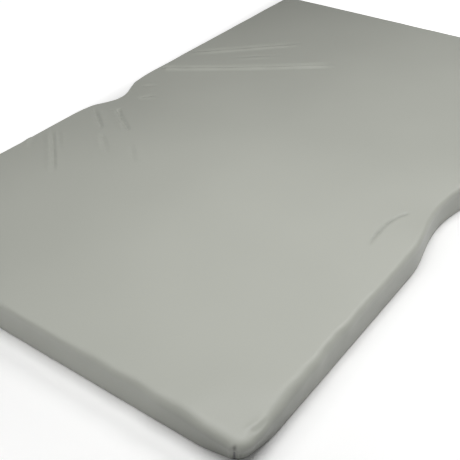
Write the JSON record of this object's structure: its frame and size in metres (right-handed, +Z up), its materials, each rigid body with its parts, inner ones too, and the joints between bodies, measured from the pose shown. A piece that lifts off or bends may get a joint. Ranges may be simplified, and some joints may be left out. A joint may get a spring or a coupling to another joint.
{
  "type": "pressure relief mattress",
  "caption": "Thin wide foam mattress in a wipe-clean waterproof cover that folds at the waist, zipped at the foot end under a storm flap.",
  "frame": {"origin": "middle of the mattress at the bottom of its base cover", "axes": "+Y from the head end to the foot end, where the zip is; +X across the bed; +Z up"},
  "size_m": [1.2, 2, 0.085],
  "materials": {
    "cover_cloth": "satin",
    "base_cloth": "matte",
    "seam_tape": "satin",
    "sleeve_knit": "matte",
    "memory_foam": "matte",
    "base_foam": "matte",
    "zip_tape": "matte",
    "zip_coil": "satin",
    "zip_metal": "satin"
  },
  "bodies": {
    "foot_half": {"cover_top_foot": "cover_cloth", "cover_base_foot": "base_cloth", "corner_tapes_foot": "seam_tape", "inner_sleeve_foot": "sleeve_knit", "memory_foam_foot": "memory_foam", "base_foam_foot": "base_foam", "zip_tape_upper": "zip_tape", "zip_tape_lower": "zip_tape", "zip_coil_upper": "zip_coil", "zip_coil_lower": "zip_coil", "zip_end_stops": "zip_metal"},
    "head_half": {"cover_top_head": "cover_cloth", "cover_base_head": "base_cloth", "corner_tapes_head": "seam_tape", "inner_sleeve_head": "sleeve_knit", "memory_foam_head": "memory_foam", "base_foam_head": "base_foam"},
    "zip_flap": {"zip_flap": "cover_cloth"},
    "zip_slider": {"zip_slider": "zip_metal"},
    "zip_pull_tab": {"zip_pull_tab": "zip_metal"}
  },
  "joints": [
    {"name": "waist_fold", "type": "hinge", "parent": "foot_half", "child": "head_half", "pos_m": [0, -0.065, 0.088], "axis": [-1, 0, 0], "range_deg": [0, 179]},
    {"name": "flap_lift", "type": "hinge", "parent": "foot_half", "child": "zip_flap", "pos_m": [0, 0.9996, 0.0381], "axis": [1, 0, 0], "range_deg": [0, 120]},
    {"name": "zip_slide", "type": "slide", "parent": "foot_half", "child": "zip_slider", "axis": [-1, 0, 0], "range_m": [0, 1.06]},
    {"name": "pull_tab_swing", "type": "hinge", "parent": "zip_slider", "child": "zip_pull_tab", "pos_m": [0.53, 0.9959, 0.024], "axis": [0, 0, -1], "range_deg": [0, 180]}
  ]
}
